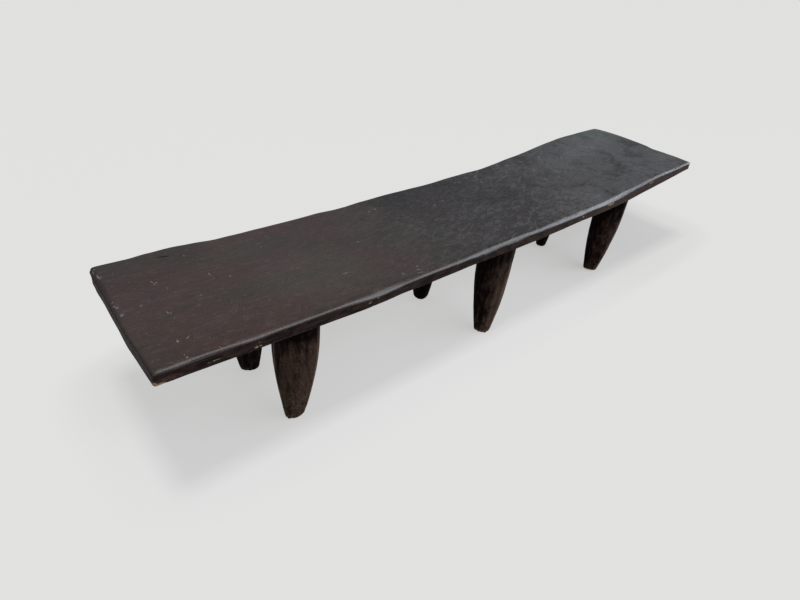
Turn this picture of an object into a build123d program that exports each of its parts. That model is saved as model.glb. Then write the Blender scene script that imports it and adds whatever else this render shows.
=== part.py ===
from build123d import *
import os

# Senufo sleeping bench: a long hardwood slab, raised at the head end, on six tapering round legs.
# Frame: X runs along the bench with the head end at +X, Y across it with the back at +Y, and Z up.
# The origin is on the floor, under the middle of the bench. All sizes are millimetres.

# ---- Slab, seen from above ----
bench_length = 1980
bench_width = 416
foot_end_skew = 15  # the front corner of the foot end reaches this much further than the back one
foot_square_run = 60  # stretch of the foot end, at its front corner, that is square to the length
head_end_bow = 16  # how far the head end's bulge stands out past the back corner
bow_centre = 95  # distance of the bulge's tip from the middle line, towards the back
bow_half_span = 120  # from the bulge's tip to where the head end runs straight
head_end_step = 12  # the straight front part of the head end lies this far behind the bulge's tip
corner_radius = 11

# ---- Slab, heights of the sleeping surface ----
seat_height = 357  # level middle stretch, above the floor
foot_rise = 20  # foot end above the level stretch
crest_rise_front = 33  # front edge where the head rest begins, above the level stretch
crest_rise_back = 45
tip_rise_front = 7  # front corner of the head end, above the start of the head rest
tip_rise_back = 2
seat_dish = 2  # hollow of the surface along the middle line

# ---- Slab, where the surface leaves the level, measured from the nearest end ----
foot_rise_run = 560
head_rise_run_front = 660
head_rise_run_back = 760
head_rest_run = 195

# ---- Slab, thickness along its two long edges ----
foot_thickness = 34
seat_thickness = 31
crest_thickness = 38
head_thickness = 25
middle_crown = 10  # extra thickness along the middle line, between the legs
end_crown = 3  # extra thickness along the middle line, at the two ends

# ---- Slab, worn edges ----
top_edge_radius = 8
bottom_edge_radius = 5

# ---- Legs ----
foot_leg_inset = 333  # from the foot end to the axes of the first pair of legs
head_leg_inset = 336  # from the head end to the axes of the last pair of legs
leg_side_inset = 90  # from a long edge to the axis of a leg
belly_height = 235  # height at which a leg is thickest
neck_narrowing = 3  # a leg is this much thinner where it meets the slab
foot_flare = 0.19  # how steeply a leg's side leaves the foot, outwards for each unit of height
foot_edge_radius = 5

# ---- Joint between a leg and the slab ----
tenon_diameter = 56
tenon_clearance = 0.2  # gap all round the tenon
tenon_end_gap = 1  # gap over the end of the tenon
wood_over_mortise = 14  # wood left between the blind mortise and the sleeping surface
tenon_root = 20  # stretch of the tenon's core below the shoulder, inside the leg

trim = 6  # the slab and the foot of each leg are shaped this much too long, then cut to size

half_length = bench_length / 2
half_width = bench_width / 2


# ---- Slab ----
def side_profile(y, head_rise_run, crest_rise, tip_rise, dish, crown, tip_crown):
    """Draw one lengthwise section of the slab: surface, head end, underside and foot end."""
    stations = [
        -half_length - trim,
        -half_length + foot_rise_run,
        half_length - head_rise_run,
        half_length - head_rest_run,
        half_length + trim,
    ]
    surface = [
        seat_height + foot_rise,
        seat_height - dish,
        seat_height - dish,
        seat_height + crest_rise - dish,
        seat_height + crest_rise + tip_rise,
    ]
    thickness = [
        foot_thickness + tip_crown,
        seat_thickness - dish + crown,
        seat_thickness - dish + crown,
        crest_thickness - dish + crown,
        head_thickness + tip_crown,
    ]
    top = list(zip(stations, surface))
    bottom = [(x, z - depth) for x, z, depth in zip(stations, surface, thickness)]
    level = (1, 0)
    head_slope = (head_rest_run, bottom[-1][1] - bottom[-2][1])
    with BuildSketch(Plane.XZ.offset(-y)) as section:
        with BuildLine():
            Spline(*top, tangents=[level] * len(top))
            Line(top[-1], bottom[-1])
            Spline(*bottom, tangents=[level, level, level, head_slope, head_slope])
            Line(bottom[0], top[0])
        make_face()
    return section.sketch


front_section = side_profile(
    -half_width - trim, head_rise_run_front, crest_rise_front, tip_rise_front, 0, 0, 0
)
middle_section = side_profile(
    0,
    (head_rise_run_front + head_rise_run_back) / 2,
    (crest_rise_front + crest_rise_back) / 2,
    (tip_rise_front + tip_rise_back) / 2,
    seat_dish,
    middle_crown,
    end_crown,
)
back_section = side_profile(
    half_width + trim, head_rise_run_back, crest_rise_back, tip_rise_back, 0, 0, 0
)

with BuildPart() as slab:
    loft([front_section, middle_section, back_section])
    with BuildSketch() as outline:
        with BuildLine():
            front_foot = (-half_length, -half_width)
            skew_start = (-half_length, -half_width + foot_square_run)
            back_foot = (-half_length + foot_end_skew, half_width)
            back_head = (half_length - head_end_bow, half_width)
            bow_tip = (half_length, bow_centre)
            bow_end = (half_length - head_end_step, bow_centre - bow_half_span)
            front_head = (half_length - head_end_step, -half_width)
            Line(front_foot, skew_start)
            Spline(skew_start, back_foot, tangents=[(0, 1), (0, 1)])
            Line(back_foot, back_head)
            TangentArc(bow_tip, back_head, tangent=(0, 1))
            TangentArc(bow_tip, bow_end, tangent=(0, -1))
            Line(bow_end, front_head)
            Line(front_head, front_foot)
        make_face()
        corner_rows = outline.vertices().group_by(Axis.Y)
        fillet(corner_rows[0] + corner_rows[-1], corner_radius)
    extrude(amount=2 * seat_height, mode=Mode.INTERSECT)
    broad_faces = slab.faces().sort_by(SortBy.AREA)[-2:].sort_by(Axis.Z)
    underside_edges = broad_faces[0].edges()
    surface_edges = broad_faces[-1].edges()
    fillet(surface_edges, top_edge_radius)
    fillet(underside_edges, bottom_edge_radius)


# ---- Legs ----
# Each row: name, station along the bench, side (-1 front, +1 back), shift of the foot from its
# nominal place, lean of the axis over the height of the belly, and diameters at foot and belly.
foot_station = -half_length + foot_leg_inset
head_station = half_length - head_leg_inset
leg_rows = [
    ("leg_foot_front", foot_station, -1, (-2, 9), (10, -3), 50, 112),
    ("leg_foot_back", foot_station, 1, (-7, 1), (0, 0), 53, 110),
    ("leg_middle_front", 0, -1, (7, -19), (0, 0), 50, 102),
    ("leg_middle_back", 0, 1, (-30, -7), (0, 0), 47, 101),
    ("leg_head_front", head_station, -1, (-4, 8), (7, -7), 50, 103),
    ("leg_head_back", head_station, 1, (-16, 0), (0, 0), 40, 92),
]


def make_leg(name, foot, axis, foot_diameter, belly_diameter):
    """Turn one leg about its own axis, cut it to the floor and the slab, and give it its tenon."""
    heights = [point.Z for point, _ in slab.part.find_intersection_points(Axis(foot, axis))]
    underside, surface = min(heights), max(heights)
    across = Vector(0, 1, 0).cross(axis).normalized()
    lengthwise = Plane(foot, x_dir=across, z_dir=across.cross(axis))
    sole = foot_diameter / 2 - foot_flare * trim
    belly = belly_diameter / 2
    neck_height = (underside + surface) / 2
    with BuildPart() as leg:
        with BuildSketch(lengthwise):
            with BuildLine():
                Line((0, -trim), (sole, -trim))
                Line((sole, -trim), (foot_diameter / 2, 0))
                Spline(
                    (foot_diameter / 2, 0),
                    (belly, belly_height),
                    (belly - neck_narrowing / 2, neck_height),
                    tangents=[(foot_flare, 1), (0, 1), (0, 1)],
                )
                Line((belly - neck_narrowing / 2, neck_height), (0, neck_height))
                Line((0, neck_height), (0, -trim))
            make_face()
        revolve(axis=Axis(foot, axis))
        split(bisect_by=Plane.XY, keep=Keep.TOP)
        fillet(leg.edges().group_by(Axis.Z)[0], foot_edge_radius)
        add(slab.part, mode=Mode.SUBTRACT)
        tenon_foot = foot + axis * ((underside - tenon_root) / axis.Z)
        tenon_length = (surface - wood_over_mortise - tenon_end_gap - tenon_foot.Z) / axis.Z
        with BuildSketch(Plane(tenon_foot, z_dir=axis)):
            Circle(tenon_diameter / 2)
        extrude(amount=tenon_length)
    leg.part.label = name
    return leg.part, tenon_foot, tenon_length


legs = []
mortises = []
for name, station, side, shift, lean, foot_diameter, belly_diameter in leg_rows:
    foot = Vector(station + shift[0], side * (half_width - leg_side_inset) + shift[1])
    axis = Vector(lean[0], lean[1], belly_height).normalized()
    leg, tenon_foot, tenon_length = make_leg(name, foot, axis, foot_diameter, belly_diameter)
    legs.append(leg)
    mortises.append((Plane(tenon_foot, z_dir=axis), tenon_length + tenon_end_gap))


# ---- Slab with its mortises ----
with BuildPart() as platform:
    add(slab.part)
    for mortise_plane, mortise_length in mortises:
        with BuildSketch(mortise_plane):
            Circle(tenon_diameter / 2 + tenon_clearance)
        extrude(amount=mortise_length, mode=Mode.SUBTRACT)
platform.part.label = "platform"


# ---- Files ----
os.makedirs("parts", exist_ok=True)
for piece in [platform.part, *legs]:
    export_step(piece, "parts/" + piece.label + ".step")
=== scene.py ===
from math import cos, pi, sin

import bpy
import numpy as np
from mathutils import Matrix, Vector


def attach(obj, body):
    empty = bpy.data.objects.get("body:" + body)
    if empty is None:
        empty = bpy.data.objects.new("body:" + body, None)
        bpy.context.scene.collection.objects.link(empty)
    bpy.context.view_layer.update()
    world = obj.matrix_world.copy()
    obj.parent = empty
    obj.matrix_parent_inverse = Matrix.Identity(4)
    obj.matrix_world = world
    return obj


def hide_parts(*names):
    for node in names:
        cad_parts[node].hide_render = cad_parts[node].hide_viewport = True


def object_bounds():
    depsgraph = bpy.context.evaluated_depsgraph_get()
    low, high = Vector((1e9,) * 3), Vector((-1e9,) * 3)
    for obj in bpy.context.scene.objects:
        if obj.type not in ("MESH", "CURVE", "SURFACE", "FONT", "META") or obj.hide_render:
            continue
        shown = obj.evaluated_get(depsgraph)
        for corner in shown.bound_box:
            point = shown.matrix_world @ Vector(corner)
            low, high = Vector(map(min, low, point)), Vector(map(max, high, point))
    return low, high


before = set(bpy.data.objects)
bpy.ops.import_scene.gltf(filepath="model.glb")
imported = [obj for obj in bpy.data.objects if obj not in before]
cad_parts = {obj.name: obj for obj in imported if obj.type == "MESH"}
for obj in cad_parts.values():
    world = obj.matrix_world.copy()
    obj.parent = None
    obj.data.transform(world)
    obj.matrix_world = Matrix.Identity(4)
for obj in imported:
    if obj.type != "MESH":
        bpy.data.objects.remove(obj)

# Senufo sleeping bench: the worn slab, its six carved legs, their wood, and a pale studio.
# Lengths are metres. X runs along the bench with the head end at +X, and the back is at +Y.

cad_low, cad_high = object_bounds()
MM = 0.001

# ---- Slab, seen from above ----
half_length = cad_high.x
half_width = cad_high.y
corner_radii = {(-1, -1): 7 * MM, (-1, 1): 16 * MM, (1, -1): 5 * MM, (1, 1): 9 * MM}

# Each row: place across the end, and how far the end is set back there, in millimetres.
foot_outline = [
    (-208, 0), (-174, 0), (-134, 0.6), (-92, 0.9), (-71, 0.8), (-49, 1.8), (-26, 3.5), (-1, 5.4),
    (23, 6.3), (48, 7.5), (73, 8.8), (99, 10.2), (125, 10.9), (151, 11.4), (179, 13.4), (208, 14.5),
]
head_outline = [
    (-208, 0), (-190, 6.5), (-170, 11), (-140, 12.5), (-95, 12.2), (-72, 13.2), (-58, 14), (-44, 12.5),
    (-22, 9), (0, 6.5), (45, 3.2), (95, 0.6), (140, 0.5), (180, 4.5), (208, 11),
]

# ---- Slab, heights and thickness ----
section_reach = 214 * MM  # distance of the outer lengthwise sections from the middle line
seat_height = 357 * MM
foot_rise = 20 * MM
crest_rise = (33 * MM, 45 * MM)  # front and back
tip_rise = (7 * MM, 2 * MM)
head_rise_run = (660 * MM, 760 * MM)
seat_dish = 2 * MM
foot_rise_run = 560 * MM
head_rest_run = 195 * MM
end_overrun = 6 * MM
foot_thickness = 34 * MM
seat_thickness = 31 * MM
crest_thickness = 38 * MM
head_thickness = 25 * MM
middle_crown = 10 * MM
end_crown = 3 * MM

# ---- Legs: foot place, lean over the height of the belly, diameters at the foot, belly and neck ----
leg_rows = {
    "leg_foot_front": ((-659, -109), (10, -3), 50, 112, 110),
    "leg_foot_back": ((-664, 119), (0, 0), 53, 113, 113),
    "leg_middle_front": ((7, -137), (4, 0), 50, 104, 108),
    "leg_middle_back": ((-31, 111), (0, 0), 47, 101, 100),
    "leg_head_front": ((650, -110), (7, -7), 50, 103, 101),
    "leg_head_back": ((637, 118), (-2, 0), 38, 85, 84),
}
belly_height = 235 * MM
neck_height = 0.32  # about where a leg meets the slab
sunk = 6 * MM  # how far a leg runs up into the slab
foot_flare = 0.19
# Painted shade under the slab: a leg's painted lit side and its rubbing fade to near black from the first
# height, over the second.
slab_shade_from, slab_shade_fade = 0.20, 0.10  # the rubbing on a leg starts to fade here, over this height


# ---- Curves and noise ----
def ease(share):
    """S-curve from 0 to 1, level at both ends: three times the square less twice the cube."""
    share = np.clip(share, 0, 1)
    return share * share * (3 - 2 * share)


def flow(x, stations, heights, slopes=None):
    """Curve through the heights at the stations, cubic between neighbours, with the slopes given."""
    slopes = [0] * len(stations) if slopes is None else slopes
    curve = heights[0] + 0 * x
    for left in range(len(stations) - 1):
        right = left + 1
        span = stations[right] - stations[left]
        t = np.clip((x - stations[left]) / span, 0, 1)
        piece = heights[left] + (heights[right] - heights[left]) * ease(t)
        piece = piece + span * slopes[left] * t * (1 - t) ** 2
        piece = piece - span * slopes[right] * t * t * (1 - t)
        curve = np.where(x >= stations[left], piece, curve)
    return curve


def fading(distance, reach, start=1):
    """Share that falls evenly from the start at no distance to 0, kept between 0 and 1."""
    return np.clip(start - distance / reach, 0, 1)


def outline(rows, place):
    """Smooth curve through rows of place and size in millimetres, with slopes from their neighbours."""
    stations, sizes = (np.array(column) * MM for column in zip(*rows))
    return flow(place, stations, sizes, np.gradient(sizes, stations))


def across(pair, y):
    """Value that runs evenly from the front section's to the back section's."""
    return (pair[0] + pair[1]) / 2 + (pair[1] - pair[0]) / 2 * y / section_reach


def cloud(x, y, seed):
    """Smooth noise from -1 to 1: random values at whole-number corners, eased between them."""
    table = np.random.default_rng(seed).uniform(-1, 1, (64, 64))
    column = np.floor(x).astype(int)
    row = np.floor(y).astype(int)
    along = ease(x - column)
    low = table[column % 64, row % 64] * (1 - along) + table[(column + 1) % 64, row % 64] * along
    row = row + 1
    high = table[column % 64, row % 64] * (1 - along) + table[(column + 1) % 64, row % 64] * along
    return low + (high - low) * ease(y - row + 1)


def scoops(x, y, seed):
    """Adze cuts: 1 in the middle of each jittered unit cell's cut, falling as a bowl to its ridge."""
    jitter = np.random.default_rng(seed).uniform(0.15, 0.85, (2, 64, 64))
    column = np.floor(x).astype(int)
    row = np.floor(y).astype(int)
    nearest = np.full(np.shape(x), 9.0)
    for step_x in (-1, 0, 1):
        for step_y in (-1, 0, 1):
            cell = ((column + step_x) % 64, (row + step_y) % 64)
            off_x = column + step_x + jitter[0][cell] - x
            off_y = row + step_y + jitter[1][cell] - y
            nearest = np.minimum(nearest, off_x**2 + off_y**2)
    return np.clip(1 - nearest / 0.7, 0, 1)


# ---- Shapes ----
def new_piece(name, points, quads, triangles=(), marks=None):
    """Make a smooth-shaded mesh object at the origin; marks are numbers kept for each point."""
    mesh = bpy.data.meshes.new(name)
    faces = quads.tolist() + [list(corners) for corners in triangles]
    mesh.from_pydata(points.tolist(), [], faces)
    mesh.polygons.foreach_set("use_smooth", np.ones(len(faces), dtype=bool))
    for mark, amounts in (marks or {}).items():
        layer = mesh.attributes.new(mark, "FLOAT", "POINT")
        layer.data.foreach_set("value", amounts.astype(np.float32))
    mesh.update()
    piece = bpy.data.objects.new(name, mesh)
    bpy.context.scene.collection.objects.link(piece)
    return piece


def grid_quads(ids):
    """Faces of a grid of point numbers, wound so that rows by columns turn anticlockwise."""
    return np.stack(
        [ids[:-1, :-1].ravel(), ids[1:, :-1].ravel(), ids[1:, 1:].ravel(), ids[:-1, 1:].ravel()], axis=1
    )


# ---- Slab: its faces ----
def surface_height(x, y):
    """Sleeping surface: level in the middle, eased up to the foot end, the crest and the tip."""
    dish = seat_dish * (1 - (y / section_reach) ** 2)
    crest = across(crest_rise, y)
    stations = [
        -half_length - end_overrun,
        -half_length + foot_rise_run,
        half_length - across(head_rise_run, y),
        half_length - head_rest_run,
        half_length + end_overrun,
    ]
    rises = [foot_rise + 0 * y, -dish, -dish, crest - dish, crest + across(tip_rise, y)]
    return seat_height + flow(x, stations, rises)


def underside_height(x, y):
    """Underside: follows the surface one thickness down, crowned along the middle line."""
    hump = 1 - (y / section_reach) ** 2
    crest = across(crest_rise, y)
    stations = [
        -half_length - end_overrun,
        -half_length + foot_rise_run,
        half_length - across(head_rise_run, y),
        half_length - head_rest_run,
        half_length + end_overrun,
    ]
    rises = [
        foot_rise - foot_thickness - end_crown * hump,
        -seat_thickness - middle_crown * hump,
        -seat_thickness - middle_crown * hump,
        crest - crest_thickness - middle_crown * hump,
        crest + across(tip_rise, y) - head_thickness - end_crown * hump,
    ]
    head_slope = (rises[4] - rises[3]) / (head_rest_run + end_overrun)
    return seat_height + flow(x, stations, rises, [0, 0, 0, head_slope, head_slope])


# ---- Slab: the worn edge between the surface and the sides ----
# Each row: place along the edge, width and depth of the wear there, and how far the surface dips
# toward the edge, all in millimetres.
front_wear = [
    (-990, 10, 6, 3), (-960, 10, 6, 3), (-920, 12, 7, 3.5), (-875, 8, 5, 6), (-825, 8, 4.5, 6),
    (-770, 13, 7, 4.5), (-710, 11, 6, 4.5), (-650, 7, 4, 4), (-590, 8, 5, 2), (-525, 15, 11, 0),
    (-450, 14, 12, 0), (-375, 13, 9.5, -2), (-300, 8, 5.5, 2), (-210, 10, 6.5, 2), (-110, 13, 10, 1.5),
    (-10, 10.5, 9, 1.5), (100, 13, 8.5, 0.5), (220, 14, 11, -1.5), (345, 13.5, 10.5, -2),
    (485, 13, 9.5, 5.5), (630, 5, 3.8, 9), (800, 3.8, 3.4, 4.2), (930, 3.8, 4.2, 4.8),
    (990, 4.2, 4.5, 5),
]
back_wear = [
    (-990, 5, 2.5, 0), (-895, 4, 2.5, 1.4), (-850, 4, 2, -1.2), (-795, 4, 2, -3), (-745, 4, 2, -1.6),
    (-684, 4, 2.5, 1), (-640, 4, 2, 0), (-575, 4, 2, -2), (-500, 4, 2, -2.8), (-390, 5, 2, -3.7),
    (-322, 5, 2.5, -0.6), (-294, 4, 2.5, -0.3), (-237, 4, 2, -2.5), (-146, 4, 2, -3.4), (-49, 5, 2, -2.4),
    (19, 5, 2.5, -1.2), (54, 5, 2.5, -1.5), (127, 4, 2, -3.3), (203, 4, 2, -4.5), (282, 4, 2, -2.7),
    (364, 4, 2, -3.4), (407, 4, 1.5, -3.5), (493, 5, 2, -0.7), (538, 5, 2, -0.2), (600, 4, 1.5, -0.2),
    (679, 4, 1.5, -0.8), (729, 3, 1, -1.5), (800, 3, 1, -1.5), (889, 3, 1, -2), (990, 3, 1, -0.5),
]
foot_wear = [
    (-208, 5, 4, 0), (-110, 4, 3, 0), (-60, 5, 3.5, 0), (0, 7, 4.5, 0), (60, 10, 6.5, 0), (110, 12, 7.5, 0),
    (150, 11, 6.5, 0), (208, 8, 4, 0),
]
head_wear = [
    (-208, 7, 6, 0), (-170, 5, 3.5, 1), (-133, 4, 2.5, 0), (-98, 4, 2.5, 0), (-58, 4, 2, 0),
    (-22, 3, 1.5, -2), (14, 3, 1, -2), (134, 3, 1, -2.5), (208, 4, 1.5, -1),
]

# Each row: place along the front side, how far its lower edge hangs below the plain underside, mm.
front_hang = [
    (-990, 1.4), (-940, 1.5), (-880, 3.4), (-840, 3.8), (-620, 2.4), (-520, 3.2), (-470, 1.8), (-410, -0.6),
    (-300, 0.3), (-240, 0.6), (-180, 0), (-60, 2.6), (20, 5), (100, 4.8), (210, 3.4), (300, 0.8),
    (600, 2.6), (680, 1), (760, 2), (840, 3.4), (920, 4), (990, 5.5),
]


def wear(rows, place, seed):
    """Width, depth and dip of an edge: eased between the rows, with small hand-made unevenness."""
    stations, widths, depths, dips = (np.array(column) * MM for column in zip(*rows))
    broad = cloud(place / 0.06, 0 * place, seed)
    fine = cloud(place / 0.02, 0 * place, seed + 1)
    uneven = 1 + 0.12 * broad + 0.03 * fine
    width = flow(place, stations, widths) * uneven
    depth = flow(place, stations, depths) * uneven
    return width, depth, flow(place, stations, dips)


def plan(x, y):
    """Place in plan of a point of the plain rectangle: round the corners, then bend the edges."""
    corner = np.zeros(np.shape(x))
    for (side_x, side_y), radius in corner_radii.items():
        corner = np.where((x * side_x >= 0) & (y * side_y >= 0), radius, corner)
    reach_x = np.maximum(np.abs(x) - (half_length - corner), 0)
    reach_y = np.maximum(np.abs(y) - (half_width - corner), 0)
    ring = np.maximum(reach_x, reach_y)
    squeeze = ring / np.maximum(np.hypot(reach_x, reach_y), 1e-9)
    x = x + np.sign(x) * reach_x * (squeeze - 1)
    y = y + np.sign(y) * reach_y * (squeeze - 1)
    headward = (x + half_length) / (2 * half_length)
    backward = (y + half_width) / (2 * half_width)
    front_waver = 0.4 * MM * (1 + cloud(x / 0.16, 0 * x, 21)) + 0.3 * MM * (1 + cloud(x / 0.045, 0 * x, 22))
    back_waver = 0.4 * MM * (1 + cloud(x / 0.19, 0 * x, 23)) + 0.3 * MM * (1 + cloud(x / 0.05, 0 * x, 24))
    end_waver = 0.3 * MM * (1 + cloud(y / 0.05, 0 * y, 25))
    foot_set = outline(foot_outline, y) + end_waver
    head_set = outline(head_outline, y) + end_waver
    bent_x = x + foot_set * (1 - headward) - head_set * headward
    bent_y = y + front_waver * (1 - backward) - back_waver * backward
    return bent_x, bent_y


def cut_marks(x, y):
    """Wood taken off the surface: small scoops, longer on the seat, deeper toward the head end."""
    headward = ease((x + 0.2) / 0.9)
    from_edge = np.minimum(half_width - np.abs(y), half_length - np.abs(x))
    inside = ease((from_edge - 6 * MM) / 0.04)
    broad = scoops((x + 0.25 * y) / 0.055, (y - 0.1 * x) / 0.07, 31) * inside
    fine = scoops((x - 0.35 * y) / 0.021, y / 0.035, 32) * inside
    over_ripples = (x + 0.45 * y + 0.6 * y * y) / 0.0135
    ripple = (1 + cloud(over_ripples, y / 0.06, 35)) * ease((from_edge - 16 * MM) / 0.04)
    swell = cloud(x / 0.13, y / 0.09, 33)
    proud = 0.9 * MM * ease((0.85 - x) / 0.3)
    cuts = (0.15 + 0.55 * headward) * MM * broad + (0.06 + 0.16 * headward) * MM * fine
    cuts = cuts + 0.30 * headward * MM * ripple + 0.3 * MM * (1 + swell) * inside
    return cuts - proud


def crowded(count, low, high, low_band, high_band):
    """Grid lines from low to high: seven crowd into the worn band at each end, the rest are even."""
    shares = np.array([0, 0.07, 0.18, 0.36, 0.6, 0.85, 1.05])[:, None]
    first = low + shares * low_band
    last = high - shares[::-1] * high_band
    even = np.linspace(0, 1, count - 2 * len(shares) + 2)[1:-1, None]
    return np.concatenate([first, first[-1] + even * (last[0] - first[-1]), last])


# Each chip in the front side: place along, share of the way down, length and depth.
chips = [
    (-0.789, 0.75, 6 * MM, 1.6 * MM), (-0.784, 0.5, 4 * MM, 1.0 * MM), (-0.877, 0.75, 14 * MM, 0.8 * MM),
    (-0.975, 0.9, 9 * MM, 1.6 * MM), (-0.25, 0.1, 7 * MM, 1.4 * MM), (-0.14, 0.08, 6 * MM, 1.3 * MM),
    (0.323, 0.85, 6 * MM, 1.2 * MM), (0.475, 0.7, 5 * MM, 1.5 * MM), (0.718, 0.65, 5 * MM, 1.2 * MM),
    (0.15, 0.9, 8 * MM, 1.0 * MM), (-0.5, 0.85, 6 * MM, 1.0 * MM),
]


def worn_slab(cells_long=480, cells_wide=80):
    """Closed slab: a surface grid, a rim of rows down the sides, and an underside grid.

    The surface is the sleeping surface less the cut marks, the worn band and the dip. The band
    falls as about the square of the way from its inner line to the lip, and the dip as the square
    of the way over its wider reach. Every rim row is the surface's border, drawn in by that row's
    inset, hollows and chips, and set at that row's height between the lip and the underside.
    """
    lip_inset = 0.8 * MM
    clearance = 0.3 * MM
    gouge_depth = 0.9 * MM
    front_reach, back_reach, head_reach, hang_reach = 0.06, 0.09, 0.07, 0.05
    worn_start, dim_start = 1.3, 1.15  # over 1, so that the mark stays whole for a part of the band
    even_x = np.linspace(-half_length, half_length, cells_long + 1)
    even_y = np.linspace(-half_width, half_width, cells_wide + 1)
    front_band, front_drop, front_dip = wear(front_wear, even_x, 41)
    back_band, back_drop, back_dip = wear(back_wear, even_x, 43)
    foot_band, foot_drop, _ = wear(foot_wear, even_y, 45)
    head_band, head_drop, head_dip = wear(head_wear, even_y, 47)
    low_x, low_y = half_length - lip_inset, half_width - lip_inset
    grid_x = crowded(cells_long + 1, -low_x, low_x, foot_band[None, :], head_band[None, :])
    grid_y = crowded(cells_wide + 1, -low_y, low_y, front_band[None, :], back_band[None, :]).T
    roll = 1.95 + 0.25 * cloud(grid_x / 0.11, grid_y / 0.11, 49)
    foot_flat = 0.60 * np.exp(-(((grid_x + 0.46) / 0.10) ** 2))
    middle_flat = 0.45 * np.exp(-(((grid_x - 0.25) / 0.09) ** 2))
    roll = roll - (foot_flat + middle_flat) * (grid_y < 0)
    drop = np.maximum.reduce([
        front_drop[:, None] * fading(grid_y + low_y, front_band[:, None]) ** roll,
        back_drop[:, None] * fading(low_y - grid_y, back_band[:, None]) ** roll,
        foot_drop[None, :] * fading(grid_x + low_x, foot_band[None, :]) ** roll,
        head_drop[None, :] * fading(low_x - grid_x, head_band[None, :]) ** roll,
    ])
    front_fade = fading(grid_y + low_y, front_reach) ** 2
    back_fade = fading(low_y - grid_y, back_reach) ** 2
    head_fade = fading(low_x - grid_x, head_reach) ** 2 * (1 - back_fade)
    drop = drop + front_dip[:, None] * front_fade + back_dip[:, None] * back_fade
    drop = drop + head_dip[None, :] * head_fade
    top_x, top_y = plan(grid_x, grid_y)
    top_z = surface_height(top_x, top_y) - drop - cut_marks(top_x, top_y)
    top_z = np.minimum(top_z, cad_high.z - clearance)
    worn = np.maximum(
        fading(grid_y + low_y, front_band[:, None], worn_start),
        fading(low_x - grid_x, head_band[None, :], worn_start),
    )
    # The foot end's band: duller, and its colour painted darker as shade.
    dim = fading(grid_x + low_x, foot_band[None, :], dim_start)

    under_inset = 2.4 * MM
    under_x, under_y = plan(
        grid_x * (half_length - under_inset) / low_x, grid_y * (half_width - under_inset) / low_y
    )
    gouges = scoops(under_x / 0.06 + 0.2 * under_y / 0.06, under_y / 0.04, 34)
    from_edge = np.minimum(half_width - np.abs(under_y), half_length - np.abs(under_x))
    hang_places, hangs = (np.array(column) * MM for column in zip(*front_hang))
    hang = flow(under_x, hang_places, hangs) * fading(under_y + half_width, hang_reach) ** 2
    gouged = gouge_depth * gouges * ease((from_edge - 0.004) / 0.02)
    under_z = underside_height(under_x, under_y) + gouged - hang

    count_x, count_y = grid_x.shape
    ids = np.arange(count_x * count_y).reshape(count_x, count_y)
    border = np.concatenate([ids[:-1, 0], ids[-1, :-1], ids[:0:-1, -1], ids[0, :0:-1]])
    lip_x, lip_y = grid_x.ravel()[border] / low_x, grid_y.ravel()[border] / low_y
    lip_z, sole_z = top_z.ravel()[border], under_z.ravel()[border]

    # Each rim row: inset from the outline in millimetres, share of the way down, millimetres off
    # that share, how worn and how bare; the lower arris is pale, partly worn bare wood and partly
    # a painted highlight.
    rim_rows = [
        (0.25, 0, -0.8, 1, 0), (0, 0, -2.0, 0.7, 0), (0, 0.17, 0, 0, 0), (0, 0.28, 0, 0, 0),
        (0, 0.39, 0, 0, 0), (0, 0.5, 0, 0, 0), (0, 0.61, 0, 0, 0), (0, 0.72, 0, 0, 0),
        (0, 0.82, 0, 0, 0), (0.05, 1, 1.8, 0, 0.4), (0.45, 1, 0.8, 0, 1), (1.2, 1, 0.25, 0, 1),
    ]
    step_x = np.diff(lip_x * half_length, prepend=0)
    step_y = np.diff(lip_y * half_width, prepend=0)
    around = np.cumsum(np.hypot(step_x, step_y))
    rim = []
    for inset, share, offset, _, _ in rim_rows:
        middle = 4 * share * (1 - share)
        hollow = (0.5 + 0.5 * cloud(around / 0.03, share * 2 + 0 * around, 51)) * middle * 0.9 * MM
        hollow = hollow + scoops(around / 0.045, share * 1.4 + 0 * around, 52) * middle * 0.7 * MM
        inward = inset * MM + hollow
        row_x, row_y = plan(lip_x * (half_length - inward), lip_y * (half_width - inward))
        bites = np.zeros(len(row_x))
        for place, height, length, depth in chips:
            near = np.exp(-(((row_x - place) / length) ** 2)) * (row_y < -0.19)
            bites = bites + depth * near * np.exp(-(((share - height) / 0.22) ** 2))
        row_z = lip_z + (sole_z - lip_z) * share + offset * MM
        rim.append(np.stack([row_x, row_y + bites, row_z], axis=-1))

    top = np.stack([top_x, top_y, top_z], axis=-1).reshape(-1, 3)
    under = np.stack([under_x, under_y, under_z], axis=-1).reshape(-1, 3)
    points = np.concatenate([top, np.concatenate(rim), under])
    rim_worn, rim_bare_and_lit = (np.repeat(column, len(border)) for column in list(zip(*rim_rows))[3:])
    worn = np.concatenate([worn.ravel(), rim_worn, np.zeros(len(under))])
    bare = np.concatenate([np.zeros(len(top)), rim_bare_and_lit, np.zeros(len(under))])
    dim = np.concatenate([dim.ravel(), np.zeros(len(points) - len(top))])
    first_under = len(top) + len(rim_rows) * len(border)
    rim_ids = len(top) + np.arange(len(rim_rows) * len(border)).reshape(len(rim_rows), -1)
    rim_ids = np.concatenate([border[None, :], rim_ids, (first_under + border)[None, :]])
    rim_ids = np.concatenate([rim_ids, rim_ids[:, :1]], axis=1)
    quads = np.concatenate([grid_quads(ids), grid_quads(rim_ids), grid_quads(ids.T + first_under)])
    slab = new_piece("worn_slab", points, quads, marks={"worn": worn, "bare": bare, "dim": dim})

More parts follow.
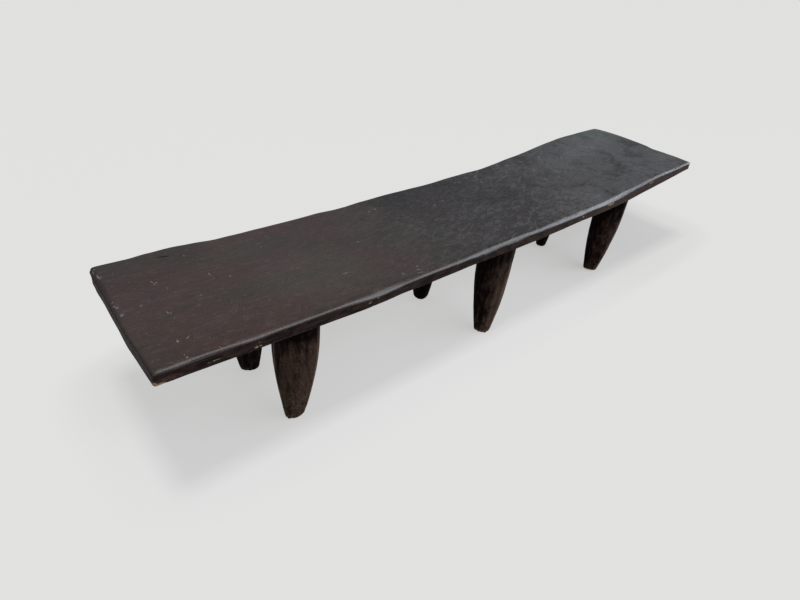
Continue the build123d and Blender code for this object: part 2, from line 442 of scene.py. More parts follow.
    # Slot 0 is the rubbed wood and 1 the dry wood of the sides. The surface is rubbed but for its
    # outermost cells at the foot and back, and the arris below it along the front and head end.
    surface_slots = np.zeros((cells_long, cells_wide), dtype=np.int32)
    surface_slots[0, :] = 1
    surface_slots[:, -2:] = 1
    rim_slots = np.ones((len(rim_rows) + 1, len(border)), dtype=np.int32)
    rim_slots[:2, : cells_long + cells_wide] = 0
    under_slots = np.ones(cells_long * cells_wide, dtype=np.int32)
    slots = np.concatenate([surface_slots.ravel(), rim_slots.ravel(), under_slots])
    slab.data.materials.append(slab_wood())
    slab.data.materials.append(side_wood())
    slab.data.polygons.foreach_set("material_index", slots)
    return slab


# ---- Legs ----
# Share of a turn, from +X toward the back, of the side of each leg that is painted browner as its lit side.
lit_side_toward = {
    "leg_foot_front": 0.74,
    "leg_foot_back": 0.60,
    "leg_middle_front": 0.80,
    "leg_middle_back": 0.95,
    "leg_head_front": 0.74,
    "leg_head_back": 0.85,
}

# Each slanted sole: direction it rises toward, start of the rise and slope.
sole_slants = {
    "leg_foot_front": ((0.25, -0.97), 0.002, 0.42),
    "leg_foot_back": ((-0.5, -0.87), 0.016, 0.3),
    "leg_middle_front": ((-0.9, -0.4), 0.018, 0.3),
    "leg_middle_back": ((0.6, -0.8), 0.012, 0.3),
    "leg_head_front": ((-0.8, -0.6), 0.012, 0.25),
    "leg_head_back": ((0.7, -0.7), 0.012, 0.3),
}

# How strongly each leg shows its painted lit side and its browner worn foot; a low amount keeps a back leg
# near black as painted shade.
rub_and_light_amount = {
    "leg_foot_front": 1.0,
    "leg_foot_back": 0.2,
    "leg_middle_front": 0.8,
    "leg_middle_back": 0.1,
    "leg_head_front": 0.5,
    "leg_head_back": 0.1,
}

# Painted rim highlights down a leg: share of a turn and strength.
painted_rim_highlights = {
    "leg_foot_front": ((0.850, 1.0), (0.480, 1.0)),
    "leg_middle_front": ((0.775, 0.8), (0.68, 0.3)),
    "leg_head_front": ((0.755, 0.7),),
}

# How bare the wood is round the sole's edge, on the legs where it shows.
bare_soles = {"leg_head_front": 1.0, "leg_middle_front": 0.5}


def carved_leg(node, foot, lean, foot_width, belly_width, neck_width, seed, rows=130, columns=120):
    """Closed tapering leg, a radius for every height and angle about a leaning axis.

    The radius swells from the foot to the belly as a cubic with the foot's flare, and runs on to
    the neck. Flat adze cuts down the leg take it in: the radius at an angle is the smallest of
    the cuts' distances over the cosine of the angle from each cut. The sole's edge is rounded,
    chipped by noise, and lifted where the sole slants.
    """
    rng = np.random.default_rng(seed)
    foot_x, foot_y = foot[0] * MM, foot[1] * MM
    lean_x, lean_y = lean[0] * MM / belly_height, lean[1] * MM / belly_height
    neck_x = np.array([foot_x + lean_x * neck_height])
    neck_y = np.array([foot_y + lean_y * neck_height])
    top = underside_height(neck_x, neck_y)[0] + sunk
    share = np.linspace(0, 1, rows)[:, None]
    angle = np.linspace(0, 2 * pi, columns, endpoint=False)[None, :]
    height = top * share**1.15
    radii = np.array([foot_width, belly_width, neck_width]) / 2 * MM
    radius = flow(height, [0, belly_height, top], radii, [foot_flare, 0, 0])
    cuts = 11
    facets = radius + 0 * angle
    for cut in range(cuts):
        waver = 0.15 * cloud(height / 0.1, 0 * height, seed + cut)
        middle = 2 * pi * (cut + rng.uniform(-0.3, 0.3)) / cuts + waver
        depth = 0.972 + 0.014 * cloud(height / 0.06, 0 * height + 0.5, seed + 20 + cut)
        facing = np.maximum(np.cos(angle - middle), 0.2)
        facets = np.minimum(facets, radius * depth / facing)
    ring_x, ring_y = np.cos(angle) * 3 + 9, np.sin(angle) * 3 + 9
    chatter = scoops(angle * 5 / pi, height / 0.028 + ring_y, seed + 50)
    rough = cloud(ring_x * 3, height / 0.012 + ring_y * 3, seed + 51)
    facets = facets - 0.35 * MM * chatter - 0.15 * MM * (1 + rough)
    rounding = (9 if node.endswith("back") else 4) * MM
    round_in = rounding - np.sqrt(np.maximum(rounding**2 - np.maximum(rounding - height, 0) ** 2, 0))
    broken = np.clip(cloud(ring_x * 1.5, ring_y * 1.5, seed + 60), 0, 1) * fading(height, 13 * MM)
    facets = facets - round_in - 4 * MM * broken
    out_x, out_y = facets * np.cos(angle), facets * np.sin(angle)
    (toward_x, toward_y), start, slope = sole_slants[node]
    lift = np.maximum(out_x * toward_x + out_y * toward_y - start, 0) * slope
    lifted = height + lift * fading(height, 40 * MM)
    x = foot_x + lean_x * height + out_x
    y = foot_y + lean_y * height + out_y
    wall = np.stack([x, y, lifted], axis=-1).reshape(-1, 3)
    ends = np.array([[foot_x, foot_y, 0], [foot_x + lean_x * top, foot_y + lean_y * top, top]])
    points = np.concatenate([wall, ends])
    # The 'rubbed' mark holds painted light and shade: the side given above is browner as lit, the leg fades
    # to near black under the slab, and a browner worn ring sits at the foot; the cloud adds random tone.
    facing_light = np.cos(angle - 2 * pi * lit_side_toward[node])
    shade_under_slab = ease((height - slab_shade_from) / slab_shade_fade)
    near_floor = ease((0.03 - height) / 0.02)
    rubbed = 0.36 + 0.46 * facing_light + 0.28 * cloud(ring_x * 0.8, height / 0.09 + ring_y * 0.8, seed + 70)
    rubbed = rubbed * rub_and_light_amount[node]
    rubbed = rubbed * (1 - shade_under_slab) + 0.32 * rub_and_light_amount[node] * near_floor
    # The 'ridge' mark: thin painted rim highlights down the leg, weaker under the slab.
    ridge = 0 * (angle + height)
    for turn, strength in painted_rim_highlights.get(node, ()):
        off = (angle - 2 * pi * turn - 0.05 * cloud(height / 0.05, 0 * height, seed + 80)) / 0.10
        ridge = ridge + strength * np.exp(-(off**2)) * (1 - 0.6 * shade_under_slab)
    flaked = np.clip(broken * 3, 0, 1) * (1 - ease((height - 0.004) / 0.012))
    flaked = np.maximum(flaked, bare_soles.get(node, 0) * (1 - ease((height - 0.002) / 0.005)))
    ids = np.arange(rows * columns).reshape(rows, columns)
    ids = np.concatenate([ids, ids[:, :1]], axis=1)
    sole = len(wall)
    bottom = np.stack([np.full(columns, sole), ids[0, 1:], ids[0, :-1]], axis=1)
    lid = np.stack([np.full(columns, sole + 1), ids[-1, :-1], ids[-1, 1:]], axis=1)
    marks = {
        "rubbed": np.append(np.clip(rubbed, 0, 1).ravel(), [0, 0]),
        "flaked": np.append(flaked.ravel(), [0, 0]),
        "ridge": np.append(ridge.ravel(), [0, 0]),
    }
    caps = np.concatenate([bottom, lid]).tolist()
    return new_piece("carved_" + node, points, grid_quads(ids.T), caps, marks)


# ---- Finishes ----
class Value:
    """A node's number, ready for expressions: each operator adds a Math node."""

    def __init__(self, finish, socket):
        self.finish = finish
        self.socket = socket

    def maths(self, operation, first, second=0.0):
        return self.finish.node("ShaderNodeMath", {"operation": operation}, {0: first, 1: second})

    def __add__(self, other):
        return self.maths("ADD", self, other)

    def __sub__(self, other):
        return self.maths("SUBTRACT", self, other)

    def __rsub__(self, other):
        return self.maths("SUBTRACT", other, self)

    def __mul__(self, other):
        return self.maths("MULTIPLY", self, other)

    def __truediv__(self, other):
        return self.maths("DIVIDE", self, other)

    def __pow__(self, other):
        return self.maths("POWER", self, other)

    __radd__ = __add__
    __rmul__ = __mul__

    def sibling(self, output):
        """Another output of the same node."""
        return Value(self.finish, self.socket.node.outputs[output])

    def between(self, low, high):
        """0 below low, 1 above high, and an S-curve between; low may be the larger of the two."""
        return self.finish.node(
            "ShaderNodeMapRange",
            {"interpolation_type": "SMOOTHSTEP"},
            {"Value": self, "From Min": low, "From Max": high},
            "Result",
        )


class Finish:
    """A material, world or floor shader under construction."""

    def __init__(self, owner):
        owner.use_nodes = True
        self.tree = owner.node_tree
        self.tree.nodes.clear()

    def node(self, kind, settings=None, inputs=None, output=0):
        """Add a node: first its settings, then each input's value or link; returns one output."""
        node = self.tree.nodes.new(kind)
        for name, setting in (settings or {}).items():
            setattr(node, name, setting)
        for key, value in (inputs or {}).items():
            if isinstance(value, Value):
                self.tree.links.new(value.socket, node.inputs[key])
            else:
                node.inputs[key].default_value = value
        return Value(self, node.outputs[output])

    def here(self):
        """Object coordinates."""
        return self.node("ShaderNodeTexCoord", output="Object")

    def axis(self, name):
        """One of the object coordinates."""
        return self.node("ShaderNodeSeparateXYZ", {}, {0: self.here()}, name)

    def mark(self, name):
        """A number kept for each point of the piece."""
        return self.node("ShaderNodeAttribute", {"attribute_name": name}, output="Fac")

    def sized(self, size, turn=(0, 0, 0), shift=(0, 0, 0)):
        """Object coordinates turned, then counted in lengths of the pattern's size."""
        inputs = {"Vector": self.here(), "Location": shift, "Rotation": turn, "Scale": size}
        return self.node("ShaderNodeMapping", {"vector_type": "TEXTURE"}, inputs)

    def vectors(self, operation, *inputs, output=0):
        """Maths on vectors, which go to the node's sockets in order."""
        return self.node("ShaderNodeVectorMath", {"operation": operation}, dict(enumerate(inputs)), output)

    def cells(self, where, dimensions="3D"):
        """Distance to the nearest of scattered points, with one point in each unit cell."""
        settings = {"voronoi_dimensions": dimensions}
        return self.node("ShaderNodeTexVoronoi", settings, {"Vector": where, "Scale": 1.0})

    def chance(self, cells):
        """A random number from 0 to 1 for each cell."""
        return self.node("ShaderNodeSeparateXYZ", {}, {0: cells.sibling("Color")}, "X")

    def mottle(self, size, detail=3.0, roughness=0.55, distortion=0.0, turn=(0, 0, 0)):
        """Soft noise around 0.5 with lumps of the given size."""
        inputs = {"Vector": self.sized(size, turn), "Scale": 1.0, "Detail": detail}
        inputs.update({"Roughness": roughness, "Distortion": distortion})
        return self.node("ShaderNodeTexNoise", {}, inputs, "Fac")

    def scratches(self, length, width, turn, kept, shift):
        """Thin lines of about the given length and width: one in each of a few stretched cells."""
        where = self.sized((length, width * 14, 1), (0, 0, turn), (shift, shift, 0))
        bend = self.node("ShaderNodeTexNoise", {}, {"Vector": where, "Scale": 0.6, "Detail": 1.0}, "Color")
        where = self.vectors("ADD", where, bend)
        cells = self.cells(where, "2D")
        squeezed = self.vectors("SUBTRACT", where, cells.sibling("Position"))
        squeezed = self.vectors("MULTIPLY", squeezed, (2.2, 14, 0))
        off = self.vectors("LENGTH", squeezed, output="Value")
        return off.between(1.0, 0.35) * self.chance(cells).between(1 - kept, 1 - kept * 0.7)

    def flecks(self, spacing, size, kept):
        """Small spots, in a few of the cells of the given spacing."""
        cells = self.cells(self.sized((spacing, spacing, spacing)))
        chance = self.chance(cells)
        share = size / spacing
        return cells.between(share, share * 0.5) * chance.between(1 - kept, 1 - kept * 0.6)

    def spots(self, places):
        """1 in the middle of each ellipsoid, fading out to its rim: rows of centre, size and turn."""
        total = 0.0
        for centre, size, turn in places:
            where = self.sized(size, (0, 0, turn), centre)
            ball = {"gradient_type": "SPHERICAL"}
            near = self.node("ShaderNodeTexGradient", ball, {"Vector": where}, "Fac")
            total = near.between(0.0, 0.65) + total
        return total

    def patches(self, rows):
        """Broad upright patches of the surface: rows of middle and half lengths along X and Y."""
        return self.spots([((x, y, seat_height), (long, wide, 1), 0) for x, y, long, wide in rows])

    def blend(self, share, first, second):
        """Colour that runs from the first to the second with the share."""
        return self.node("ShaderNodeMix", {"data_type": "RGBA"}, {0: share, 6: first, 7: second}, 2)

    def bump(self, height):
        """Normal bent by a height in metres."""
        return self.node("ShaderNodeBump", {}, {"Strength": 1.0, "Distance": 1.0, "Height": height})

    def end(self, kind, surface):
        output = self.tree.nodes.new(kind)
        self.tree.links.new(surface.socket, output.inputs["Surface"])


def slab_wood():
    """Sleeping surface: brown at the foot, blacker toward the head, rubbed to a low sheen, with a pale
    sheen painted on the head rest.
    """
    material = bpy.data.materials.new("slab_wood")
    finish = Finish(material)
    headward = finish.axis("X").between(-0.5, 0.25)
    worn, dim = finish.mark("worn"), finish.mark("dim")
    blotches = finish.mottle((0.30, 0.17, 0.2), detail=4, roughness=0.5, distortion=0.5)
    mauve = finish.mottle((0.22, 0.16, 0.2), detail=3, turn=(0, 0, 1.1))
    streaks = finish.mottle((0.085, 0.0045, 0.05), detail=6, roughness=0.66)
    fibres = finish.mottle((0.018, 0.0011, 0.01), detail=3)
    grit = finish.mottle((0.0045, 0.0035, 0.004), detail=2, roughness=0.7)
    pores = finish.mottle((0.009, 0.0016, 0.01), detail=2, roughness=0.7)
    haze = finish.mottle((0.035, 0.022, 0.05), detail=6, roughness=0.7, distortion=0.3)
    ripples = finish.mottle((0.014, 0.042, 0.06), detail=3, distortion=1.0, turn=(0, 0, 0.55))
    leather = finish.mottle((0.027, 0.011, 0.012), detail=3, distortion=0.8, turn=(0, 0, 0.38))
    light_cloud = finish.mottle((0.11, 0.09, 0.1), detail=4, distortion=0.4, turn=(0, 0, 0.7))
    head_rest = finish.axis("X").between(0.22, 0.58)
    smoother = finish.axis("X").between(0.15, 0.5)
    brown = finish.blend(
        blotches.between(0.40, 0.60), (0.040, 0.0215, 0.0165, 1), (0.0275, 0.0222, 0.0150, 1)
    )
    black = finish.blend(
        blotches.between(0.40, 0.60), (0.0185, 0.0125, 0.0125, 1), (0.0125, 0.0120, 0.0112, 1)
    )
    brown = finish.blend(mauve.between(0.5, 0.66) * 0.7, brown, (0.036, 0.0245, 0.0235, 1))
    colour = finish.blend(headward, brown, black)
    # Painted sheen: the head rest's colour is lifted to a pale blue-grey.
    colour = finish.blend(head_rest * 0.85, colour, (0.060, 0.062, 0.0615, 1))
    clouded = light_cloud.between(0.44, 0.64) * (0.35 * headward + 0.55 * head_rest)
    colour = finish.blend(clouded * 0.8, colour, (0.060, 0.060, 0.060, 1))
    dulled = light_cloud.between(0.50, 0.36) * headward
    colour = finish.blend(dulled * 0.75, colour, (0.010, 0.009, 0.010, 1))
    # Broad patches, each row the middle and half lengths along X and Y.
    shaded = finish.patches([(-0.04, 0.14, 0.24, 0.18), (0.17, 0.02, 0.15, 0.07)])
    paled = finish.patches([
        (0.36, -0.14, 0.16, 0.12), (0.42, 0.01, 0.08, 0.06), (0.55, 0.07, 0.14, 0.10),
        (0.77, 0.12, 0.20, 0.11), (0.71, 0.08, 0.12, 0.06), (0.96, -0.15, 0.09, 0.08),
    ])
    reddened = finish.patches([(-0.93, -0.07, 0.10, 0.09)])
    greened = finish.patches([(0.93, 0.16, 0.16, 0.12)])
    browned = finish.patches([(-0.90, 0.15, 0.24, 0.13)])
    bleached = finish.patches([(-0.56, -0.06, 0.20, 0.14)])
    colour = finish.blend(paled * 0.25, colour, (0.125, 0.126, 0.128, 1))
    colour = finish.blend(greened * 0.30, colour, (0.100, 0.140, 0.125, 1))
    colour = finish.blend(browned * 0.35, colour, (0.016, 0.010, 0.004, 1))
    colour = finish.blend(bleached * 0.20, colour, (0.075, 0.063, 0.053, 1))
    colour = finish.blend(reddened * 0.35, colour, (0.060, 0.026, 0.022, 1))
    pale_haze = haze.between(0.50, 0.70) * (0.30 + 0.35 * headward - 0.4 * smoother)
    colour = finish.blend(pale_haze, colour, (0.070, 0.060, 0.059, 1))
    dark_haze = haze.between(0.48, 0.28) * (0.20 + 0.5 * headward - 0.45 * smoother)
    colour = finish.blend(dark_haze, colour, (0.008, 0.007, 0.007, 1))
    crests = ripples.between(0.52, 0.70) * headward
    colour = finish.blend(crests * (0.42 - 0.12 * head_rest), colour, (0.084, 0.084, 0.090, 1))
    troughs = ripples.between(0.48, 0.32) * headward
    colour = finish.blend(troughs * (0.72 - 0.22 * head_rest), colour, (0.008, 0.007, 0.007, 1))
    pale_leather = leather.between(0.51, 0.64) * (headward * 0.8 - 0.5 * smoother)
    colour = finish.blend(pale_leather, colour, (0.082, 0.078, 0.079, 1))
    dark_leather = leather.between(0.47, 0.34) * (0.2 + 0.55 * headward - 0.45 * smoother)
    colour = finish.blend(dark_leather, colour, (0.006, 0.005, 0.005, 1))
    pale_streaks = streaks.between(0.5, 0.70) * 0.30 * (1 - 0.5 * headward)
    colour = finish.blend(pale_streaks, colour, (0.070, 0.049, 0.043, 1))
    colour = finish.blend(streaks.between(0.46, 0.26) * 0.55, colour, (0.010, 0.007, 0.006, 1))
    colour = finish.blend(pores.between(0.40, 0.25) * 0.5, colour, (0.008, 0.006, 0.005, 1))
    dark_grit = grit.between(0.46, 0.32) * (0.25 + 0.10 * headward - 0.15 * head_rest)
    colour = finish.blend(dark_grit, colour, (0.006, 0.005, 0.005, 1))
    pale_grit = grit.between(0.54, 0.68) * (0.12 + 0.08 * headward - 0.10 * head_rest)
    colour = finish.blend(pale_grit, colour, (0.095, 0.084, 0.082, 1))
    scratched = (
        finish.scratches(0.030, 0.0006, 0.05, 0.12, 0.0)
        + finish.scratches(0.016, 0.0005, -0.35, 0.10, 0.37)
        + finish.scratches(0.011, 0.0006, 0.9, 0.10, 0.71)
    )
    dark_belt = finish.axis("X").between(-0.25, 0.0) * finish.axis("X").between(0.34, 0.16)
    colour = finish.blend(shaded * (0.25 + 0.55 * blotches), colour, (0.002, 0.001, 0.002, 1))
    colour = finish.blend(dark_belt * 0.20, colour, (0.005, 0.002, 0.003, 1))
    # Painted shade: the foot end's band is darkened.
    colour = finish.blend(dim * 0.75, colour, (0.018, 0.0125, 0.011, 1))
    colour = finish.blend(scratched * (0.45 - 0.2 * headward), colour, (0.17, 0.125, 0.11, 1))
    colour = finish.blend(finish.flecks(0.021, 0.0017, 0.07) * 0.6, colour, (0.26, 0.21, 0.18, 1))
    # Short pale scuffs at the foot end. Each mark here and below: its middle, half its length in
    # millimetres and its turn from +X toward the back.
    scuffs = [
        (-0.9673, 0.1536, 13.9, -1.49), (-0.9707, 0.1804, 7.9, 1.44), (-0.8834, 0.0781, 5.7, -1.16),
        (-0.8760, 0.0707, 5.1, -1.05), (-0.8815, 0.0673, 4.7, 0.22), (-0.9760, 0.0243, 5.9, -1.22),
        (-0.9727, 0.0179, 4.3, 0.74), (-0.9749, -0.0113, 4.9, 0.72), (-0.8987, -0.0490, 5.7, -1.40),
        (-0.8949, -0.0547, 4.3, 0.76), (-0.8985, -0.1471, 6.5, 0.72), (-0.9179, -0.1499, 4.3, -0.15),
        (-0.9189, -0.1477, 5.9, 1.36), (-0.7670, 0.0490, 9.0, 1.53), (-0.7663, 0.0312, 4.3, -0.94),
        (-0.8177, -0.0217, 3.6, 1.55), (-0.8600, -0.2002, 3.3, -0.96), (-0.9219, -0.1983, 3.1, -0.41),
        (-0.9329, 0.0000, 3.3, -1.02), (-0.7808, 0.1557, 3.6, -1.46), (-0.7309, 0.0214, 5.8, 0.66),
        (-0.8640, 0.0367, 5.4, -1.01),
    ]
    # Longer, fainter scratches over the rest.
    faint = [
        (-0.2434, 0.1429, 8.4, 0.10), (-0.2205, 0.1468, 7.8, 0.06), (-0.0500, 0.0755, 12.1, 0.36),
        (-0.0060, 0.0856, 9.5, -0.10), (-0.3349, -0.1673, 6.7, -0.26), (-0.3425, -0.1815, 9.4, -0.10),
        (-0.3504, -0.1955, 8.8, -0.12), (-0.3872, -0.1764, 7.2, -1.33), (-0.4362, -0.2100, 3.5, 0.06),
        (-0.4993, -0.0964, 11.4, 0.13), (0.2149, 0.1469, 11.2, 0.20), (-0.3807, 0.0132, 7.6, -0.06),
        (0.5366, 0.1450, 18.6, 0.98), (0.4852, 0.1410, 8.0, 0.09), (0.4869, 0.1926, 9.3, 0.02),
        (0.5950, 0.0901, 25.6, 0.78), (0.4410, 0.0878, 9.2, 1.05), (0.5762, -0.0227, 12.0, 1.35),
        (0.8662, 0.0120, 12.1, 1.35), (0.7457, -0.1212, 9.8, -1.29), (0.4535, -0.1647, 11.5, -0.08),
        (0.4187, 0.0190, 9.8, 1.36), (0.3914, 0.1715, 10.9, 0.09),
    ]
    # A crack from drying: its middle, half lengths and turn.
    drying_check = ((-0.8225, 0.1715, seat_height), (19 * MM, 3.4 * MM, 1), -0.19)
    scuffed = finish.spots(
        [((x, y, seat_height), (1.15 * long * MM, 1.7 * MM, 1), turn) for x, y, long, turn in scuffs]
    )
    fainter = finish.spots(
        [((x, y, seat_height), (1.15 * long * MM, 2.4 * MM, 1), turn) for x, y, long, turn in faint]
    )
    # Rubbed spots on the foot end's arris, with half their width after half their length.
    rubs = [
        (-0.9722, 0.0165, 6, 3.2, 0.73), (-0.9732, -0.0138, 7, 3.6, 0.66), (-0.9744, 0.0410, 5, 2.4, 0.70),
        (-0.9680, 0.1530, 11, 3.0, -1.50), (-0.9648, 0.1500, 6, 2.6, 0.83), (-0.9655, 0.1900, 5, 3.0, 1.20),
    ]
    rubbed = finish.spots(
        [((x, y, seat_height), (long * MM, wide * MM, 1), turn) for x, y, long, wide, turn in rubs]
    )
    check = finish.spots([drying_check])
    unbroken = grit.between(0.34, 0.52)
    colour = finish.blend(scuffed * unbroken * 0.6, colour, (0.30, 0.22, 0.20, 1))
    colour = finish.blend(fainter * unbroken * 0.75, colour, (0.18, 0.16, 0.16, 1))
    colour = finish.blend(rubbed * unbroken * 0.55, colour, (0.20, 0.185, 0.19, 1))
    colour = finish.blend(check, colour, (0.002, 0.0015, 0.001, 1))
    dents = finish.mottle((0.030, 0.022, 0.03), detail=3)
    height = ripples * (0.0001 + 0.0014 * headward) + dents * (0.0003 + 0.0016 * headward)
    height = height + leather * (0.0001 + 0.0011 * headward - 0.0004 * smoother)
    height = height + streaks * 0.00018 + fibres * 0.00004 + pores * 0.00005 - scratched * 0.00008
    height = height * (1 - worn) - check * 0.0008
    uneven = 0.25 * (haze - 0.5) + 0.12 * (fibres - 0.5)
    roughness = 0.40 + uneven * (1 - worn) - 0.13 * worn + 0.35 * dim + 0.5 * check
    shader = finish.node(
        "ShaderNodeBsdfPrincipled",
        {},
        {"Base Color": colour, "Roughness": roughness, "Normal": finish.bump(height)},
    )
    finish.end("ShaderNodeOutputMaterial", shader)
    return material


def side_wood():
    """Sides and underside: the same wood left dry, blotched, with chips down to bare tan wood."""
    material = bpy.data.materials.new("side_wood")
    finish = Finish(material)
    bare_and_lit_edge = finish.mark("bare")
    blotches = finish.mottle((0.045, 0.03, 0.022), detail=4, distortion=0.4)
    streaks = finish.mottle((0.06, 0.004, 0.004), detail=5, roughness=0.62)
    specks = finish.mottle((0.004, 0.004, 0.003), detail=3)
    colour = finish.blend(blotches.between(0.36, 0.62), (0.026, 0.015, 0.012, 1), (0.007, 0.004, 0.0035, 1))
    colour = finish.blend(streaks.between(0.5, 0.72) * 0.45, colour, (0.070, 0.047, 0.038, 1))
    # Pale line along the lower arris: partly worn bare wood, partly a painted highlight.
    colour = finish.blend(bare_and_lit_edge * specks.between(0.4, 0.6) * 0.45, colour, (0.12, 0.082, 0.062, 1))
    headward = finish.axis("X").between(-0.1, 0.6)
    colour = finish.blend(headward * (0.25 + 0.35 * specks), colour, (0.062, 0.040, 0.033, 1))
    corner = finish.spots([((-0.965, -half_width, 0.345), (40 * MM, 14 * MM, 14 * MM), 0)])
    colour = finish.blend(corner * specks.between(0.42, 0.62) * 0.6, colour, (0.105, 0.060, 0.036, 1))
    # Chips down to bare wood in the front side: place, height, and half length and half height in
    # millimetres.
    bare = [
        (-0.978, 0.343, 15, 3.5), (-0.987, 0.347, 5, 5), (-0.877, 0.348, 17, 1.8), (-0.787, 0.340, 11, 3),
        (-0.784, 0.349, 4, 2.5), (-0.508, 0.337, 6, 3), (-0.485, 0.342, 5, 2.5), (0.323, 0.338, 7, 3),
        (0.475, 0.345, 24, 6), (0.718, 0.367, 20, 4),
    ]
    front_y = -half_width + 1 * MM
    places = [((x, front_y, z), (long * MM, 12 * MM, high * MM), 0) for x, z, long, high in bare]
    chipped = finish.spots(places) * specks.between(0.34, 0.52)
    colour = finish.blend(chipped * 0.85, colour, (0.36, 0.25, 0.16, 1))
    height = streaks * 0.0004 + blotches * 0.0008 + specks * 0.0002 - chipped * 0.0004
    inputs = {"Base Color": colour, "Roughness": 0.65, "Specular IOR Level": 0.08}
    inputs["Normal"] = finish.bump(height)
    shader = finish.node("ShaderNodeBsdfPrincipled", {}, inputs)
    finish.end("ShaderNodeOutputMaterial", shader)
    return material


def leg_wood():
    """Legs: near black under the slab as painted shade, browner on a painted lit side, with painted rim
    highlights and brown streaks down to a worn foot.
    """
    material = bpy.data.materials.new("leg_wood")
    finish = Finish(material)
    rubbed, flaked = finish.mark("rubbed"), finish.mark("flaked")
    grain = finish.mottle((0.006, 0.006, 0.045), detail=5, roughness=0.66)
    blotches = finish.mottle((0.016, 0.016, 0.035), detail=4, distortion=0.5)
    specks = finish.mottle((0.003, 0.003, 0.005), detail=3)
    # Painted light and shade: the 'rubbed' mark turns the lit side brown and leaves the top under the slab
    # and the back legs near black.
    shade = (rubbed + 1.5 * (blotches - 0.5) + 0.9 * (grain - 0.5)).between(0.0, 0.9)
    colour = finish.blend(shade, (0.0035, 0.0016, 0.0013, 1), (0.044, 0.026, 0.019, 1))
    colour = finish.blend(shade * grain.between(0.52, 0.72) * 0.30, colour, (0.105, 0.066, 0.046, 1))
    colour = finish.blend(shade * specks.between(0.5, 0.72) * 0.55, colour, (0.120, 0.084, 0.062, 1))
    colour = finish.blend(grain.between(0.46, 0.30) * 0.75, colour, (0.005, 0.0025, 0.002, 1))
    # Painted highlight: thin pale rim lines down the legs, from the 'ridge' mark.
    painted_rim_highlight = finish.mark("ridge") * grain.between(0.34, 0.52)
    colour = finish.blend(painted_rim_highlight * 0.85, colour, (0.150, 0.110, 0.080, 1))
    colour = finish.blend(finish.flecks(0.016, 0.0016, 0.16) * 0.7 * shade, colour, (0.26, 0.19, 0.13, 1))
    low_down = finish.axis("Z").between(0.15, 0.03)
    pale_specks = specks.between(0.52, 0.64) * low_down * shade
    colour = finish.blend(pale_specks * 0.6, colour, (0.15, 0.11, 0.075, 1))
    colour = finish.blend(flaked * specks.between(0.36, 0.52), colour, (0.26, 0.13, 0.06, 1))
    height = grain * 0.0004 + blotches * 0.0010 + specks * 0.0003
    inputs = {"Base Color": colour, "Roughness": 0.7, "Specular IOR Level": 0.02}
    inputs["Normal"] = finish.bump(height)
    shader = finish.node("ShaderNodeBsdfPrincipled", {}, inputs)
    finish.end("ShaderNodeOutputMaterial", shader)
    return material


# ---- Studio ----
backdrop_grey = (0.760, 0.760, 0.745, 1)
floor_grey = (0.785, 0.785, 0.770, 1)
warm_grey = (0.755, 0.735, 0.695, 1)
sky_grey = (0.345, 0.355, 0.38, 1)
camera_place = Vector((-1.1674, -1.0140, 1.0471))
camera_yaw, camera_pitch, camera_roll = 0.7475, 0.5895, 0.0831
focal_length, sensor_width = 25.18, 36.0
# The floor keeps the bench's shadow inside a rounded box with this middle and these half lengths.
shadow_x, shadow_y, shadow_long, shadow_wide = 0.17, 0.06, 1.24, 0.36


def set_camera():
    """Camera looking down the bench: yaw from +Y toward +X, pitch downward, then roll."""
    flat = cos(camera_pitch)
    view = Vector((sin(camera_yaw) * flat, cos(camera_yaw) * flat, -sin(camera_pitch)))
    level = Vector((cos(camera_yaw), -sin(camera_yaw), 0))
    upright = level.cross(view)
    right = level * cos(camera_roll) + upright * sin(camera_roll)
    up = upright * cos(camera_roll) - level * sin(camera_roll)
    data = bpy.data.cameras.new("camera")
    data.lens = focal_length
    data.sensor_width = sensor_width
    data.clip_end = 200
    camera = bpy.data.objects.new("camera", data)
    turn = Matrix((right, up, -view)).transposed().to_4x4()
    camera.matrix_world = Matrix.Translation(camera_place) @ turn
    bpy.context.scene.collection.objects.link(camera)
    bpy.context.scene.camera = camera


def soft_box(name, place, target, long_side, length, width, watts, colour=(1, 1, 1)):
    """Rectangular lamp facing its target, with its length along the long side's direction."""
    data = bpy.data.lights.new(name, "AREA")
    data.shape = "RECTANGLE"
    data.size, data.size_y = length, width
    data.energy = watts
    data.color = colour
    lamp = bpy.data.objects.new(name, data)
    away = (Vector(place) - Vector(target)).normalized()
    long_axis = Vector(long_side)
    long_axis = (long_axis - away * long_axis.dot(away)).normalized()
    turn = Matrix((long_axis, away.cross(long_axis), away)).transposed().to_4x4()
    lamp.matrix_world = Matrix.Translation(place) @ turn
    lamp.visible_camera = False
    bpy.context.scene.collection.objects.link(lamp)
    return lamp


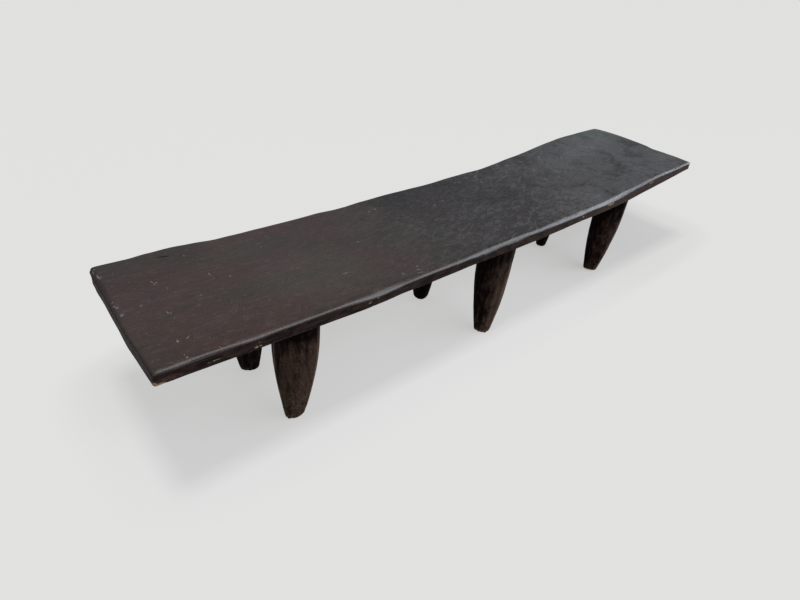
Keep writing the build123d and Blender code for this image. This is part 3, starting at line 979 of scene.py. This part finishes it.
def studio():
    """Pale floor that keeps a soft shadow, a dim even sky and two soft boxes."""
    world = bpy.data.worlds.new("studio")
    bpy.context.scene.world = world
    finish = Finish(world)
    camera_ray = finish.node("ShaderNodeLightPath", output="Is Camera Ray")
    sky = finish.node("ShaderNodeBackground", {}, {"Color": sky_grey, "Strength": 1.0})
    plain = finish.node("ShaderNodeBackground", {}, {"Color": backdrop_grey, "Strength": 1.0})
    mixed = finish.node("ShaderNodeMixShader", {}, {0: camera_ray, 1: sky, 2: plain})
    finish.end("ShaderNodeOutputWorld", mixed)

    bpy.ops.mesh.primitive_plane_add(size=80, location=(0, 0, 0))
    floor = bpy.context.object
    floor.name = "floor"
    material = bpy.data.materials.new("floor")
    finish = Finish(material)
    along = (finish.axis("X") - shadow_x) / shadow_long
    across_floor = (finish.axis("Y") - shadow_y) / shadow_wide
    away = (along**6 + across_floor**6).between(0.6, 1.5)
    seen = finish.node("ShaderNodeLightPath", output="Is Camera Ray")
    mirrored = finish.node("ShaderNodeLightPath", output="Is Glossy Ray")
    shadow_share = (1 - away) * (0.32 + 0.26 * finish.axis("X").between(0.2, 1.2))
    glow_share = (seen + mirrored) * (0.98 - shadow_share)
    matt = finish.node("ShaderNodeBsdfDiffuse", {}, {"Color": floor_grey})
    warm_matt = finish.node("ShaderNodeBsdfDiffuse", {}, {"Color": warm_grey})
    headward = finish.axis("X").between(0.2, 1.0)
    matt = finish.node("ShaderNodeMixShader", {}, {0: headward, 1: matt, 2: warm_matt})
    glow = finish.node("ShaderNodeEmission", {}, {"Color": backdrop_grey, "Strength": 1.0})
    mixed = finish.node("ShaderNodeMixShader", {}, {0: glow_share, 1: matt, 2: glow})
    finish.end("ShaderNodeOutputMaterial", mixed)
    floor.data.materials.append(material)

    key = soft_box("key", (-1.06, -0.5, 3.08), (0.2, 0.0, 0.3), (0, 1, 0), 0.55, 0.55, 47)
    key.visible_glossy = False
    cool = (0.88, 0.92, 1.0)
    soft_box("front_right", (1.6, -1.95, 2.05), (0.0, -0.2, 0.36), (3.6, 0.6, -1.3), 5.6, 0.72, 60, cool)
    bpy.context.scene.view_settings.view_transform = "Standard"


# ---- The bench ----
set_camera()
slab = worn_slab()
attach(slab, "root")
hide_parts("platform")

wood = leg_wood()
for number, (node, shape) in enumerate(leg_rows.items()):
    leg = carved_leg(node, *shape, seed=100 * (number + 1))
    leg.data.materials.append(wood)
    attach(leg, "root")
    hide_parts(node)

studio()
